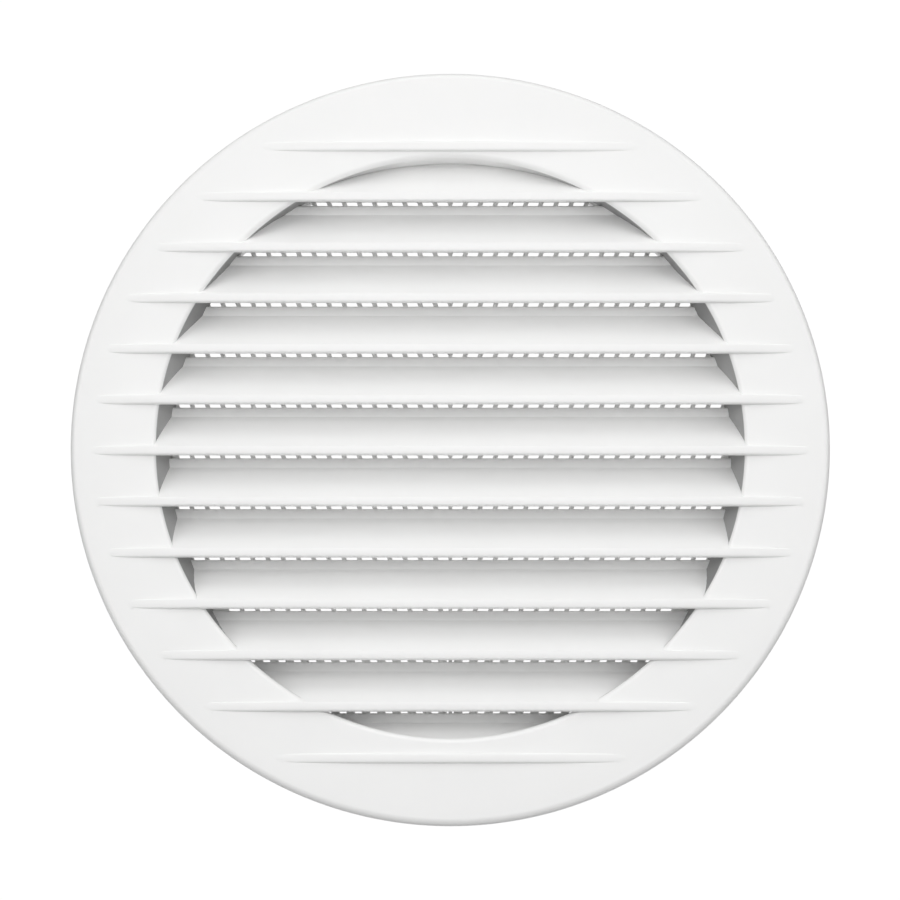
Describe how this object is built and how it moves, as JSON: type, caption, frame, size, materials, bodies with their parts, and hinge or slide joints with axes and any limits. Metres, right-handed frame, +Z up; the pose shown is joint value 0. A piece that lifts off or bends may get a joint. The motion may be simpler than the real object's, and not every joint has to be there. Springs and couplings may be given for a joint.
{
  "type": "round louvred ventilation grille",
  "caption": "Round white louvred grille with an insect screen behind fixed sloping louvres, pushed into a wall or ceiling duct and held by sprung wire clips.",
  "frame": {"origin": "centre of the duct opening in the wall plane, on which the back of the flange rests", "axes": "+Y runs from the wall plane into the duct, -Y is the way the face looks, +Z is up on a wall, +X is to the right seen from the front"},
  "size_m": [0.15, 0.0422, 0.15],
  "materials": {
    "white_abs": "satin moulded ABS",
    "screen_plastic": "satin moulded polypropylene",
    "spring_wire": "drawn stainless spring wire",
    "pin_steel": "bright turned pin"
  },
  "bodies": {
    "grille": {"grille_ring": "white_abs", "louvre_01": "white_abs", "louvre_02": "white_abs", "louvre_03": "white_abs", "louvre_04": "white_abs", "louvre_05": "white_abs", "louvre_06": "white_abs", "louvre_07": "white_abs", "louvre_08": "white_abs", "louvre_09": "white_abs", "louvre_10": "white_abs", "louvre_11": "white_abs", "louvre_12": "white_abs", "insect_screen": "screen_plastic", "clip_pin_1": "pin_steel", "clip_pin_2": "pin_steel", "clip_pin_3": "pin_steel"},
    "clip_1": {"spring_clip_1": "spring_wire"},
    "clip_2": {"spring_clip_2": "spring_wire"},
    "clip_3": {"spring_clip_3": "spring_wire"}
  },
  "joints": [
    {"name": "clip_1_fold", "type": "hinge", "parent": "grille", "child": "clip_1", "pos_m": [0, 0.0184, 0.0596], "axis": [-1, 0, 0], "range_deg": [0, 25], "stiffness_Nm_per_rad": 0.15},
    {"name": "clip_2_fold", "type": "hinge", "parent": "grille", "child": "clip_2", "pos_m": [0.05162, 0.0184, -0.0298], "axis": [0.5, 0, 0.866], "range_deg": [0, 25], "stiffness_Nm_per_rad": 0.15},
    {"name": "clip_3_fold", "type": "hinge", "parent": "grille", "child": "clip_3", "pos_m": [-0.05162, 0.0184, -0.0298], "axis": [0.5, 0, -0.866], "range_deg": [0, 25], "stiffness_Nm_per_rad": 0.15}
  ]
}
